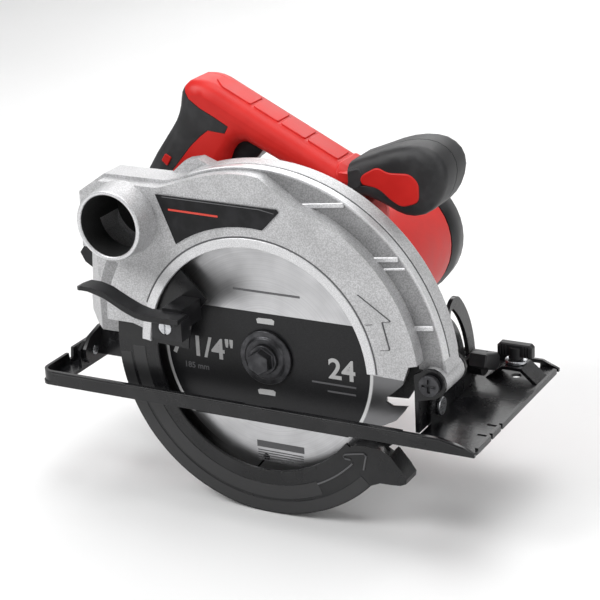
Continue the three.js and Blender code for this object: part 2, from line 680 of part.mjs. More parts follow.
function guardLever() {
  const upper = [[-34, 33.6], [-58, 33.6], [-65, 35.4], [-73, 38.8], [-84, 44.3], [-92, 46.3],
    [-99, 46.4], [-103.6, 44.8]];
  const lower = [[-104, 42.8], [-99, 43.6], [-92, 43.4], [-84, 41], [-73, 35.6], [-65, 32.2],
    [-58, 30.6], [-34, 30.6]];
  const paddle = common(
    prism(outline([...upper, ...lower]), 'XZ', PADDLE.near, PADDLE.far),
    prism(rectangle(-104, PADDLE.near, -20, PADDLE.far, 5), 'XY', 20, 60, { segments: 5 }),
  );
  const block = box(-53, PADDLE.near + 2, 19.5, -33, PADDLE.far, 32);
  const { x, z, half } = LEVER_FOOT;
  const post = box(x - half, PADDLE.far - 1, z - half, x + half, LOWER.near - GAP, z + half);
  return cut(join(paddle, block, post), rod('Y', -50, 0, x, z - 2, 2.6),
    rod('Y', -50, -38.6, x, z - 2, 4.6));
}

const leverScrew = () => cut(
  join(
    rod('Y', -41, -38.9, LEVER_FOOT.x, LEVER_FOOT.z - 2, 4.2, { segments: 20 }),
    rod('Y', -40, LOWER.near - GAP, LEVER_FOOT.x, LEVER_FOOT.z - 2, 2.3),
  ),
  box(LEVER_FOOT.x - 0.6, -45, LEVER_FOOT.z - 7, LEVER_FOOT.x + 0.6, -40.2, LEVER_FOOT.z + 3),
);

// A torsion spring on the boss closes the lower guard.
function returnSpring() {
  const turns = 1.6;
  const count = 26;
  const points = Array.from({ length: count + 1 }, (_, i) => {
    const [x, z] = polar(22.4, 20 + (360 * turns * i) / count);
    return [x, 8.95 + (1.65 * i) / count, z];
  });
  return bentWire(points, 0.45, 44, 6);
}

// ---------------------------------------------------------------- handle

function handleShape() {
  const shape = new THREE.Shape();
  shape.moveTo(30, 106);
  shape.lineTo(-50, 146);
  shape.quadraticCurveTo(-60, 152, -69, 150.5);
  shape.quadraticCurveTo(-77, 148, -78, 139);
  shape.quadraticCurveTo(-79, 129, -85, 121);
  shape.lineTo(-98, 103);
  shape.lineTo(-110, 84);
  shape.quadraticCurveTo(-119, 62, -104, 58);
  shape.lineTo(-26, 52);
  shape.lineTo(48, 64);
  shape.quadraticCurveTo(52, 78, 45, 84);
  shape.lineTo(35.8, 87);
  shape.lineTo(35.8, 103);
  shape.closePath();
  const fingers = new THREE.Path();
  fingers.moveTo(-46, 103);
  fingers.quadraticCurveTo(-42, 115.5, -33, 114.5);
  fingers.lineTo(2.5, 98.5);
  fingers.quadraticCurveTo(13, 92, 11, 84);
  fingers.quadraticCurveTo(6, 77, -8, 75);
  fingers.lineTo(-50, 72);
  fingers.quadraticCurveTo(-66, 72, -62, 80);
  fingers.closePath();
  shape.holes = [fingers];
  return shape;
}

const handleBody = () => prism(
  handleShape(), 'XZ', HANDLE.near, HANDLE.far, { segments: 4, round: HANDLE.round, steps: 3 },
);

// The rubber grip wraps the back of the handle, over a core of the red moulding.
const GRIP = [[-44, 124.6], [-53, 129.5], [-63, 134.4], [-70, 139.4], [-76, 148], [-96, 150],
  [-130, 96], [-112, 74], [-94, 82], [-84, 94.4], [-70.8, 110.2], [-63.3, 117.2], [-58, 121.2],
  [-46.4, 120.3]];
const GRIP_CORE = [[-48, 112], [-56, 125], [-72, 130], [-80, 119], [-92, 103], [-99, 90],
  [-90, 84], [-72, 96]];

const motorClearance = () =>
  rod('Y', 20, 160, MOTOR.x, MOTOR.z, MOTOR.r + 1.4, { segments: 40 });

// The trigger and the switch sit in one pocket in the rear of the bar and grip.
const pocket = () => prism(
  outline([[-60, 131], [-77, 114], [-68, 104], [-66, 90], [-40, 90], [-21, 106], [-20, 121],
    [-40, 131]]),
  'XZ', HANDLE.mid - 9, HANDLE.mid + 9,
);

const gland = (growth) => rod('X', -134, -108 + growth, HANDLE.mid, 72, 7 + growth,
  { far: 9 + growth, segments: 20 });

const cordGland = () => cut(gland(0), rod('X', -136, -128, HANDLE.mid, 72, 4.2));

// The front arm of the handle runs through the knob and shows in its near side.
const ARM = [[36, 98.6], [58, 98], [65.5, 91.9], [71, 88.8], [80.7, 91.7], [81, 102.6],
  [76.1, 106.9], [62, 106.2], [55.9, 109], [47, 104], [36, 104]];

function handleHalf(from, to, armFrom, armTo) {
  const body = join(
    cut(handleBody(), prism(outline(grown(GRIP, GAP)), 'XZ', 0, 100)),
    prism(outline(GRIP_CORE), 'XZ', HANDLE.mid - 8, HANDLE.mid + 8),
  );
  const half = cut(common(body, box(-150, from, 0, 150, to, 200)),
    motorClearance(), pocket(), gland(GAP));
  const tail = [[30, 98.6], ...ARM.slice(1, -1), [30, 104]];
  return join(half, prism(outline(tail), 'XZ', armFrom, armTo));
}

function rearGrip() {
  const wrap = common(handleBody(), prism(outline(GRIP), 'XZ', 0, 100));
  const core = prism(outline(grown(GRIP_CORE, GAP)), 'XZ', HANDLE.mid - 8 - GAP,
    HANDLE.mid + 8 + GAP);
  return cut(wrap, core, pocket(), gland(GAP));
}

const TRIGGER_PIN = { x: -31, z: 117 };

function trigger() {
  const shape = new THREE.Shape();
  shape.moveTo(-24, 119);
  shape.lineTo(-40, 125);
  shape.lineTo(-54, 118);
  shape.lineTo(-56, 96);
  shape.lineTo(-52, 88);
  shape.quadraticCurveTo(-46, 82, -41, 88);
  shape.quadraticCurveTo(-40, 98, -29, 105);
  shape.lineTo(-25, 110);
  shape.closePath();
  const body = prism(shape, 'XZ', HANDLE.mid - 8, HANDLE.mid + 8, { segments: 4, round: 1.5 });
  return cut(body, rod('Y', 40, 80, TRIGGER_PIN.x, TRIGGER_PIN.z, 2.3, { segments: 12 }));
}

const triggerPin = () => rod(
  'Y', HANDLE.mid - 8.6, HANDLE.mid + 8.6, TRIGGER_PIN.x, TRIGGER_PIN.z, 2, { segments: 12 },
);

const switchBody = () => prism(
  outline([[-60, 129], [-74, 114.6], [-67, 108], [-58.4, 122]]),
  'XZ', HANDLE.mid - 7.7, HANDLE.mid + 7.7,
);

// ---------------------------------------------------------------- front knob

function knobShape() {
  const shape = new THREE.Shape();
  shape.moveTo(18, 103);
  shape.quadraticCurveTo(48, 115, 59, 119.8);
  shape.quadraticCurveTo(75, 126, 86, 123);
  shape.quadraticCurveTo(98, 119, 98, 107);
  shape.quadraticCurveTo(97, 94, 88, 86);
  shape.quadraticCurveTo(78, 78, 66, 83);
  shape.quadraticCurveTo(58, 87, 48, 90);
  shape.lineTo(18, 90);
  shape.closePath();
  return shape;
}

function knobHalf(from, to) {
  const body = prism(knobShape(), 'XZ', KNOB.near, KNOB.far,
    { segments: 4, round: KNOB.round, steps: 3 });
  return cut(
    common(body, box(36.3, from, 60, 150, to, 160)),
    prism(outline(grown(ARM, GAP)), 'XZ', KNOB.near - 5, KNOB.mid + 12 + GAP),
  );
}

// ---------------------------------------------------------------- assembly

add('base_plate', basePlate(), BLACK_STEEL);
add('bevel_quadrant', bevelQuadrant(), BLACK_STEEL);
add('front_bevel_pin', bevelPin(SLOT.throat + SHEET + 2 * GAP, 99.4), STEEL);
add('rear_bevel_pin', bevelPin(-138.4, -130.4), STEEL);
add('fence_washer', fenceWasher(), STEEL);
add('fence_screw', fenceScrew(), BLACK_PLASTIC);

add('front_bracket', frontBracket(), BLACK_STEEL);
add('rear_bracket', rearBracket(), BLACK_STEEL);
add('depth_pivot_screw', pivotScrew(), STEEL);
add('bevel_stud', bevelStud(), STEEL);
add('bevel_knob', bevelKnob(), BLACK_PLASTIC);

add('upper_guard', upperGuard(), CAST);
add('guard_label', guardLabel(), LABEL);
add('depth_clamp_bolt', clampBolt(), STEEL);
add('depth_lever', depthLever(), BLACK_PLASTIC);

add('gear_case', gearCase(), CAST);
add('motor_housing', motorHousing(), RED);
add('motor_end_cap', endCap(), BLACK_PLASTIC);
add('stator', stator(), LAMINATION);
add('upper_brush_cap', brushCap(1), BLACK_PLASTIC);
add('lower_brush_cap', brushCap(-1), BLACK_PLASTIC);
add('armature', armature(), LAMINATION);
add('commutator', commutator(), COPPER);
add('cooling_fan', coolingFan(), BLACK_PLASTIC);
add('front_bearing', bearing(4.3, 11, CASE.far - 3.8, CASE.far + 3.6, motorPlace), STEEL);
add('rear_bearing', bearing(5.3, 8.9, MOTOR.end - 11, MOTOR.end - 5.5, motorPlace), STEEL);
add('arbor_bearing', bearing(8.5, 16, 7, 18, {}), STEEL);

add('arbor', arborShaft(), STEEL);
add('spindle_gear', spindleGear(), STEEL);
add('inner_flange', innerFlange(), STEEL);
add('blade', blade(), BLADE_STEEL);
add('outer_flange', outerFlange(), STEEL);
add('blade_bolt', bladeBolt(), STEEL);

add('lower_guard', lowerGuard(), BLACK_STEEL);
add('guard_lever', guardLever(), BLACK_PLASTIC);
add('lever_screw', leverScrew(), STEEL);
add('guard_clip', guardClip(), STEEL);
add('guard_spring', returnSpring(), STEEL);

const SEAM = [HANDLE.seam - GAP / 2, HANDLE.seam + GAP / 2];
add('handle_shell', handleHalf(0, SEAM[0], KNOB.near + 1.2, SEAM[0]), RED);
add('handle_cover', handleHalf(SEAM[1], 100, SEAM[1], KNOB.mid + 12), RED);
add('rear_grip', rearGrip(), RUBBER);
add('trigger', trigger(), BLACK_PLASTIC);
add('trigger_pin', triggerPin(), STEEL);
add('switch_body', switchBody(), BLACK_PLASTIC);
add('cord_gland', cordGland(), RUBBER);
add('knob_near_half', knobHalf(0, KNOB.mid - GAP / 2), RUBBER);
add('knob_far_half', knobHalf(KNOB.mid + GAP / 2, 100), RUBBER);

export default saw;
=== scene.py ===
"""Circular saw: looks, detail pieces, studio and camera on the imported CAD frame.

Positions are given in millimetres from the blade's centre, with +X forward, +Y from the blade to the motor
and +Z up, and at() turns them into metres in the row frame. Angles run from +X towards +Z.
"""

import math

import bmesh
import bpy
from mathutils import Matrix, Vector


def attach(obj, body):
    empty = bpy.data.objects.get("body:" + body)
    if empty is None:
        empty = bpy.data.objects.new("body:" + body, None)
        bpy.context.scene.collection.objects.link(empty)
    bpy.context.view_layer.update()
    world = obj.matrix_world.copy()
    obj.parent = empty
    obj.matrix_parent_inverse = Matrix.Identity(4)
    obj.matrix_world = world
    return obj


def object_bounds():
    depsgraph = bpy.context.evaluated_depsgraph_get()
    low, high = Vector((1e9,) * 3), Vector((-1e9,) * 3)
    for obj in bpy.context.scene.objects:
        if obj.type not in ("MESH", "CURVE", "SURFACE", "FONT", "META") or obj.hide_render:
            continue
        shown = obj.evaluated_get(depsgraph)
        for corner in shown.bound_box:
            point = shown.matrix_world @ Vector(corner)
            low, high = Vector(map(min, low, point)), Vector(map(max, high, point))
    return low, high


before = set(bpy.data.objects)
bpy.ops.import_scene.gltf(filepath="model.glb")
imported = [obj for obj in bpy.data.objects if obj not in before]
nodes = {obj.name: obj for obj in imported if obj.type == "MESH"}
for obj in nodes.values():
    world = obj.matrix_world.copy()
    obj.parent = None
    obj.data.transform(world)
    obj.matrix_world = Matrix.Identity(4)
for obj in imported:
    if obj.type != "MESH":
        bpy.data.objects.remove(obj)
cad_low, cad_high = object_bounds()

scene = bpy.context.scene

ARBOR = Vector((-0.12, 0.0, 0.03))

# Faces and radii of the CAD nodes that the detail pieces sit on.
BLADE_FACE = -0.9
LABEL_FACE = -14.7
UPPER_GUARD_FACE = -13.8
UPPER_GUARD_LEDGE = -4.0
UPPER_GUARD_RIM = 117.6
LOWER_GUARD_FACE = -10.3
KNOB_FACE = 41.0
PORT = (-85.0, 81.0)
PORT_MOUTH = -30.0
PORT_BORE = 19.0
FENCE_SCREW_X = 122.3


def at(x, y, z):
    return Vector((x, y, z)) / 1000 + ARBOR


def polar(radius, degrees):
    a = math.radians(degrees)
    return (radius * math.cos(a), radius * math.sin(a))


# ---------------------------------------------------------------- materials


class Shader:
    """A procedural Principled material, whose patterns follow the object's own place, in millimetres."""

    def __init__(self, name):
        self.material = bpy.data.materials.new(name)
        self.material.use_nodes = True
        self.tree = self.material.node_tree
        self.bsdf = self.tree.nodes["Principled BSDF"]
        self.normal = None
        object_place = self.tree.nodes.new("ShaderNodeTexCoord").outputs["Object"]
        shift = self.node("ShaderNodeVectorMath", object_place, tuple(-ARBOR), operation="ADD")
        self.place = self.node("ShaderNodeVectorMath", shift, (1000, 1000, 1000), operation="MULTIPLY")
        split = self.tree.nodes.new("ShaderNodeSeparateXYZ")
        self.tree.links.new(self.place, split.inputs[0])
        self.x, self.y, self.z = split.outputs

    def node(self, kind, *inputs, output=0, **settings):
        made = self.tree.nodes.new(kind)
        for key, value in settings.items():
            setattr(made, key, value)
        for socket, value in zip(made.inputs, inputs):
            self.feed(socket, value)
        return made.outputs[output]

    def feed(self, socket, value):
        if value is None:
            return
        if isinstance(value, bpy.types.NodeSocket):
            self.tree.links.new(value, socket)
        else:
            socket.default_value = value

    def math(self, operation, a, b=0.0, c=0.0):
        return self.node("ShaderNodeMath", a, b, c, operation=operation)

    def noise(self, size, detail=3.0, stretch=(1, 1, 1), roughness=0.55):
        """Noise whose grains are about size millimetres across, drawn out by stretch."""
        place = self.node("ShaderNodeVectorMath", self.place, tuple(1 / (size * s) for s in stretch),
                          operation="MULTIPLY")
        made = self.tree.nodes.new("ShaderNodeTexNoise")
        made.inputs["Scale"].default_value = 1.0
        made.inputs["Detail"].default_value = detail
        made.inputs["Roughness"].default_value = roughness
        self.tree.links.new(place, made.inputs["Vector"])
        return made.outputs["Fac"]

    def remap(self, value, low, high, to_low=0.0, to_high=1.0, smooth=True):
        made = self.tree.nodes.new("ShaderNodeMapRange")
        made.interpolation_type = "SMOOTHSTEP" if smooth else "LINEAR"
        for socket, v in zip(made.inputs, (value, low, high, to_low, to_high)):
            self.feed(socket, v)
        return made.outputs[0]

    def between(self, value, low, high, soft=0.15):
        """A mask that is 1 between low and high, with edges soft wide."""
        up = self.remap(value, low - soft, low + soft)
        down = self.remap(value, high - soft, high + soft, 1.0, 0.0)
        return self.math("MULTIPLY", up, down)

    def radius(self, x=0.0, z=0.0):
        """Distance from an axis along Y."""
        dx, dz = self.math("SUBTRACT", self.x, x), self.math("SUBTRACT", self.z, z)
        squares = self.math("ADD", self.math("MULTIPLY", dx, dx), self.math("MULTIPLY", dz, dz))
        return self.math("SQRT", squares)

    def every(self, *masks):
        result = masks[0]
        for m in masks[1:]:
            result = self.math("MULTIPLY", result, m)
        return result

    def mix(self, share, a, b):
        made = self.tree.nodes.new("ShaderNodeMix")
        made.data_type = "RGBA"
        for socket, v in ((made.inputs[0], share), (made.inputs[6], a), (made.inputs[7], b)):
            self.feed(socket, (*v, 1.0) if isinstance(v, tuple) and len(v) == 3 else v)
        return made.outputs[2]

    def blend(self, share, a, b):
        return self.math("MULTIPLY_ADD", share, self.math("SUBTRACT", b, a), a)

    def bump(self, height, depth, strength=1.0):
        """Adds relief of depth millimetres."""
        made = self.tree.nodes.new("ShaderNodeBump")
        made.inputs["Strength"].default_value = strength
        made.inputs["Distance"].default_value = depth / 1000
        self.tree.links.new(height, made.inputs["Height"])
        if self.normal is not None:
            self.tree.links.new(self.normal, made.inputs["Normal"])
        self.normal = made.outputs[0]

    def finish(self, colour, rough, metal=0.0, coat=0.0, coat_rough=0.2, specular=0.5):
        for name, value in (("Base Color", colour), ("Roughness", rough), ("Metallic", metal)):
            self.feed(self.bsdf.inputs[name], (*value, 1.0) if isinstance(value, tuple) else value)
        self.bsdf.inputs["Coat Weight"].default_value = coat
        self.bsdf.inputs["Coat Roughness"].default_value = coat_rough
        self.bsdf.inputs["Specular IOR Level"].default_value = specular
        if self.normal is not None:
            self.tree.links.new(self.normal, self.bsdf.inputs["Normal"])
        return self.material


def cast_aluminium():
    """Tumbled die casting: a pale grain, darker in patches, with painted shade on the recessed ledge, down
    the bore of the dust outlet and between the guard's walls.
    """
    s = Shader("cast_aluminium")
    grain = s.noise(0.8, 3.0)
    patch = s.noise(16, 3.0)
    shade = s.remap(grain, 0.30, 0.70, 0.42, 0.66)
    shade = s.math("MULTIPLY", shade, s.remap(patch, 0.3, 0.7, 0.88, 1.06))
    r = s.radius()
    # Painted shade: the recessed ledge face near the rim is darkened.
    ledge = s.every(s.between(s.y, UPPER_GUARD_LEDGE - 0.6, UPPER_GUARD_LEDGE + 0.6, 0.05),
                    s.between(r, 100, UPPER_GUARD_RIM - 1.4, 0.3))
    shade = s.math("MULTIPLY", shade, s.blend(ledge, 1.0, 0.58))
    # Painted shade: the bore of the dust outlet and the guard's interior between its walls are darkened
    # almost to black.
    outlet_bore_shade = s.every(s.math("LESS_THAN", s.radius(*PORT), PORT_BORE + 0.3),
                   s.math("GREATER_THAN", s.y, PORT_MOUTH + 0.4))
    guard_interior_shade = s.every(s.between(s.y, -12.4, 12.4, 0.2), s.math("LESS_THAN", r, 101))
    shade = s.math("MULTIPLY", shade, s.blend(s.math("MAXIMUM", outlet_bore_shade, guard_interior_shade), 1.0, 0.09))
    s.bump(grain, 0.10, 0.4)
    s.bump(patch, 0.5, 0.2)
    colour = s.node("ShaderNodeCombineColor", shade, shade, s.math("MULTIPLY", shade, 1.015))
    rough = s.remap(patch, 0.3, 0.7, 0.42, 0.56)
    return s.finish(colour, rough, 0.55)


def edge_highlight():
    """Pale aluminium with a fine mottle, brighter than the casting: painted highlight on the guard's edges,
    near bead and steps.
    """
    s = Shader("edge_highlight_aluminium")
    marks = s.noise(0.6, 2.0)
    grain = s.noise(5, 2.0)
    s.bump(marks, 0.05, 0.5)
    colour = s.mix(s.remap(marks, 0.3, 0.7), (0.56, 0.56, 0.57), (0.80, 0.80, 0.81))
    return s.finish(colour, s.remap(grain, 0.3, 0.7, 0.30, 0.42), 0.6)


def painted_groove_shade():
    """Painted shade in a narrow groove of the casting."""
    s = Shader("groove_shadow")
    grain = s.noise(0.6, 2.0)
    s.bump(grain, 0.08)
    colour = s.mix(grain, (0.07, 0.07, 0.075), (0.15, 0.15, 0.155))
    return s.finish(colour, s.remap(grain, 0.3, 0.7, 0.5, 0.7), 0.3)


def black_steel():
    """Black powder coat over sheet steel, with a fine orange peel and rubbed patches."""
    s = Shader("black_steel")
    peel = s.noise(1.1, 3.0)
    rub = s.noise(22, 4.0)
    s.bump(peel, 0.05, 0.5)
    s.bump(rub, 0.6, 0.12)
    colour = s.mix(s.remap(rub, 0.35, 0.75), (0.006, 0.006, 0.007), (0.016, 0.016, 0.017))
    return s.finish(colour, s.remap(rub, 0.3, 0.7, 0.20, 0.32), 0.0, 0.1, 0.14, 0.32)


def guard_steel():
    """The lower guard's satin coat, near black, with painted highlight making its raised bands paler than the
    grooves between them.
    """
    s = Shader("guard_steel")
    peel = s.noise(1.0, 3.0)
    rub = s.noise(20, 4.0)
    s.bump(peel, 0.05, 0.5)
    s.bump(rub, 0.6, 0.10)
    r = s.radius()
    near = s.math("LESS_THAN", s.y, LOWER_GUARD_FACE - 0.1)
    # Painted highlight: the raised bands on the near face are paler.
    raised = s.every(near, s.math("MAXIMUM", s.between(r, 89.4, 96.6), s.between(r, 78.9, 87.3)))
    colour = s.mix(s.remap(rub, 0.35, 0.75), (0.006, 0.006, 0.007), (0.014, 0.014, 0.015))
    colour = s.mix(raised, colour, (0.030, 0.030, 0.031))
    return s.finish(colour, s.blend(raised, s.remap(rub, 0.3, 0.7, 0.24, 0.34), 0.34), 0.0, 0.1, 0.16, 0.34)


def bright_steel():
    """Zinc-plated screws and pins, and ground shafts."""
    s = Shader("bright_steel")
    marks = s.noise(0.6, 3.0, (4, 4, 1))
    rub = s.noise(6, 3.0)
    s.bump(marks, 0.03, 0.5)
    colour = s.mix(s.remap(rub, 0.3, 0.7), (0.42, 0.43, 0.45), (0.62, 0.63, 0.65))
    return s.finish(colour, s.remap(marks, 0.3, 0.7, 0.22, 0.40), 1.0)


def blackened_steel():
    """Oxide-blackened flanges, bolt and screws."""
    s = Shader("blackened_steel")
    marks = s.noise(0.5, 3.0)
    rub = s.noise(7, 3.0)
    s.bump(marks, 0.03, 0.5)
    colour = s.mix(s.remap(rub, 0.3, 0.75), (0.035, 0.035, 0.038), (0.08, 0.08, 0.085))
    return s.finish(colour, s.remap(marks, 0.3, 0.7, 0.28, 0.42), 0.75)


def blade_steel():
    """Circumferentially ground steel, with a black printed band across the outer side and painted shade on
    the outer steel beyond it.
    """
    s = Shader("blade_steel")
    r = s.radius()
    rings = s.tree.nodes.new("ShaderNodeTexNoise")
    rings.noise_dimensions = "1D"
    rings.inputs["Scale"].default_value = 1.0
    rings.inputs["Detail"].default_value = 4.0
    s.tree.links.new(s.math("MULTIPLY", r, 1.1), rings.inputs["W"])
    cloud = s.noise(18, 3.0)
    grind = rings.outputs["Fac"]
    s.bump(cloud, 0.3, 0.06)
    steel = s.mix(s.remap(grind, 0.3, 0.7), (0.54, 0.54, 0.55), (0.60, 0.60, 0.61))
    steel = s.mix(s.remap(cloud, 0.3, 0.7, 0.0, 0.25), steel, (0.36, 0.36, 0.37))
    outer = s.math("LESS_THAN", s.y, BLADE_FACE + 0.4)
    across = s.between(s.z, -43.5, 27.6, 0.12)
    band = s.every(outer, s.between(r, 0, 69.6, 0.12), across)
    line = s.every(outer, s.between(r, 67.6, 69.5, 0.1), across)
    speck = s.noise(0.4, 2.0)
    black = s.mix(s.remap(speck, 0.35, 0.8), (0.008, 0.008, 0.009), (0.022, 0.022, 0.024))
    printed_band = s.mix(line, black, (0.72, 0.72, 0.72))
    # Painted shade: the outer face's steel beyond the print band, from 60 mm below to 30 mm above the axis,
    # is darkened.
    rim = s.every(outer, s.between(r, 69.8, 200, 0.2), s.between(s.z, -60, 30, 8))
    steel = s.mix(rim, steel, (0.20, 0.20, 0.205))
    off_plane = s.math("GREATER_THAN", s.math("ABSOLUTE", s.y), -BLADE_FACE)
    carbide = s.every(s.between(r, 89.2, 99, 0.1), off_plane)
    colour = s.mix(carbide, s.mix(band, steel, printed_band), (0.30, 0.30, 0.31))
    rough = s.blend(band, s.remap(cloud, 0.3, 0.7, 0.30, 0.38), s.remap(speck, 0.3, 0.7, 0.36, 0.46))
    return s.finish(colour, rough, s.blend(band, 0.95, 0.0), specular=0.3)


def red_plastic():
    """Moulded red nylon with a fine texture and faint flow marks."""
    s = Shader("red_plastic")
    fine = s.noise(0.45, 2.0)
    flow = s.noise(26, 3.0)
    s.bump(fine, 0.035, 0.5)
    s.bump(flow, 0.5, 0.12)
    colour = s.mix(s.remap(flow, 0.3, 0.7), (0.58, 0.012, 0.009), (0.67, 0.020, 0.015))
    return s.finish(colour, s.remap(flow, 0.3, 0.7, 0.40, 0.50), 0.0, 0.0, 0.25, 0.35)


def black_plastic():
    """Glass-filled nylon with a spark-eroded texture."""
    s = Shader("black_plastic")
    fine = s.noise(0.6, 3.0)
    rub = s.noise(14, 3.0)
    s.bump(fine, 0.06, 0.6)
    colour = s.mix(s.remap(rub, 0.35, 0.75), (0.009, 0.009, 0.010), (0.024, 0.024, 0.026))
    return s.finish(colour, s.remap(rub, 0.3, 0.7, 0.34, 0.48), specular=0.32)


def grip_rubber():
    """Soft overmould: pale bloom and a fine leathery texture."""
    s = Shader("grip_rubber")
    fine = s.noise(0.8, 3.0)
    bloom = s.noise(12, 4.0)
    s.bump(fine, 0.08, 0.6)
    colour = s.mix(s.remap(bloom, 0.35, 0.75), (0.012, 0.012, 0.013), (0.032, 0.032, 0.034))
    return s.finish(colour, s.remap(bloom, 0.3, 0.7, 0.46, 0.60))


def printed_label():
    """Black film, slightly worn."""
    s = Shader("label_film")
    fine = s.noise(0.5, 2.0)
    worn = s.noise(9, 3.0)
    s.bump(fine, 0.02, 0.4)
    colour = s.mix(s.remap(worn, 0.35, 0.75), (0.010, 0.010, 0.011), (0.022, 0.022, 0.024))
    return s.finish(colour, s.remap(worn, 0.3, 0.7, 0.42, 0.55), 0.0, 0.0, 0.15, 0.2)


def ink(name, colour):
    """Screen-printed ink, a little uneven; the grey one is also the painted highlight on the lower guard's
    embossed arrow.
    """
    s = Shader(name)
    fine = s.noise(0.35, 2.0)
    s.bump(fine, 0.015, 0.4)
    paler = tuple(min(1.0, c * 1.15 + 0.01) for c in colour)
    return s.finish(s.mix(s.remap(fine, 0.3, 0.7), colour, paler), s.remap(fine, 0.3, 0.7, 0.40, 0.52))


def copper():
    """Drawn copper bars."""
    s = Shader("copper")
    wind = s.noise(0.7, 2.0, (1, 6, 1))
    s.bump(wind, 0.12, 0.8)
    colour = s.mix(s.remap(wind, 0.3, 0.7), (0.48, 0.20, 0.08), (0.72, 0.34, 0.15))
    return s.finish(colour, s.remap(wind, 0.3, 0.7, 0.28, 0.44), 0.95)


def lamination():
    """Stacked electrical sheet: thin plates side by side along the motor."""
    s = Shader("lamination")
    plates = s.noise(0.5, 1.0, (60, 1, 60))
    rust = s.noise(8, 3.0)
    s.bump(plates, 0.15, 0.8)
    colour = s.mix(s.remap(plates, 0.35, 0.65), (0.16, 0.16, 0.17), (0.34, 0.34, 0.35))
    colour = s.mix(s.remap(rust, 0.6, 0.8, 0.0, 0.3), colour, (0.22, 0.13, 0.08))
    return s.finish(colour, s.remap(plates, 0.3, 0.7, 0.38, 0.55), 0.8)


MATERIALS = {
    "cast_aluminium": cast_aluminium(),
    "edge_highlight": edge_highlight(),
    "groove_shade": painted_groove_shade(),
    "black_steel": black_steel(),
    "guard_steel": guard_steel(),
    "bright_steel": bright_steel(),
    "blackened": blackened_steel(),
    "blade_steel": blade_steel(),
    "red_plastic": red_plastic(),
    "black_plastic": black_plastic(),
    "grip_rubber": grip_rubber(),
    "label_film": printed_label(),
    "white_ink": ink("white_ink", (0.46, 0.46, 0.46)),
    "grey_ink_and_highlight": ink("grey_ink_and_highlight", (0.10, 0.10, 0.105)),
    "red_ink": ink("red_ink", (0.62, 0.045, 0.025)),
    "copper": copper(),
    "lamination": lamination(),
}

# Material, bevel width in millimetres and bevel segments of each CAD node. A width of None keeps flat facets.
FINISHES = {
    "base_plate": ("black_steel", 0.5, 3),
    "bevel_quadrant": ("black_steel", 0.5, 3),
    "front_bevel_pin": ("bright_steel", 0.4, 2),
    "rear_bevel_pin": ("bright_steel", 0.4, 2),
    "fence_washer": ("bright_steel", 0.3, 2),
    "fence_screw": ("black_plastic", 0.8, 3),
    "front_bracket": ("black_steel", 0.5, 3),
    "rear_bracket": ("black_steel", 0.5, 3),
    "depth_pivot_screw": ("blackened", 0.4, 3),
    "bevel_stud": ("bright_steel", 0.4, 2),
    "bevel_knob": ("black_plastic", 1.6, 4),
    "upper_guard": ("cast_aluminium", 0.9, 3),
    "guard_label": ("label_film", 0.2, 2),
    "depth_clamp_bolt": ("bright_steel", 0.4, 2),
    "depth_lever": ("black_plastic", 1.4, 4),
    "gear_case": ("cast_aluminium", 0.9, 3),
    "motor_housing": ("red_plastic", 1.2, 3),
    "motor_end_cap": ("black_plastic", 1.0, 3),
    "stator": ("lamination", 0.4, 2),
    "upper_brush_cap": ("black_plastic", 0.6, 3),
    "lower_brush_cap": ("black_plastic", 0.6, 3),
    "front_bearing": ("bright_steel", 0.4, 2),
    "rear_bearing": ("bright_steel", 0.4, 2),
    "arbor_bearing": ("bright_steel", 0.4, 2),
    "armature": ("lamination", 0.4, 2),
    "commutator": ("copper", 0.3, 2),
    "cooling_fan": ("black_plastic", 0.4, 2),
    "arbor": ("bright_steel", 0.4, 2),
    "spindle_gear": ("bright_steel", 0.2, 2),
    "inner_flange": ("blackened", 0.5, 3),
    "blade": ("blade_steel", None, 0),
    "outer_flange": ("blackened", 0.6, 3),
    "blade_bolt": ("blackened", 0.5, 3),
    "lower_guard": ("guard_steel", 0.45, 3),
    "guard_lever": ("black_plastic", 1.2, 4),
    "lever_screw": ("bright_steel", 0.4, 3),
    "guard_clip": ("bright_steel", 0.3, 2),
    "guard_spring": ("bright_steel", 0.0, 0),
    "handle_shell": ("red_plastic", 0.7, 3),
    "handle_cover": ("red_plastic", 0.7, 3),
    "rear_grip": ("grip_rubber", 0.9, 3),
    "trigger": ("black_plastic", 1.4, 4),
    "trigger_pin": ("bright_steel", 0.3, 2),
    "switch_body": ("black_plastic", 0.6, 2),
    "cord_gland": ("grip_rubber", 0.6, 3),
    "knob_near_half": ("grip_rubber", 0.6, 3),
    "knob_far_half": ("grip_rubber", 0.6, 3),
}


def dress(o, material, width, segments):
    """Welds the facets, rounds the sharp edges and gives smooth shading between them."""
    mesh = o.data
    if "custom_normal" in mesh.attributes:
        mesh.attributes.remove(mesh.attributes["custom_normal"])
    mesh.materials.clear()
    mesh.materials.append(MATERIALS[material])
    for p in mesh.polygons:
        p.use_smooth = width is not None
        p.material_index = 0
    if width is None:
        return
    weld = o.modifiers.new("weld", "WELD")
    weld.merge_threshold = 1e-6
    if width:
        bevel = o.modifiers.new("bevel", "BEVEL")
        bevel.width = width / 1000
        bevel.segments = segments
        bevel.limit_method = "ANGLE"
        bevel.angle_limit = math.radians(32)
        bevel.miter_outer = "MITER_ARC"
        bevel.harden_normals = True
    weighted = o.modifiers.new("weighted", "WEIGHTED_NORMAL")
    weighted.keep_sharp = True
    weighted.weight = 80


for node, (material, width, segments) in FINISHES.items():
    dress(nodes[node], material, width, segments)


# ---------------------------------------------------------------- mesh helpers


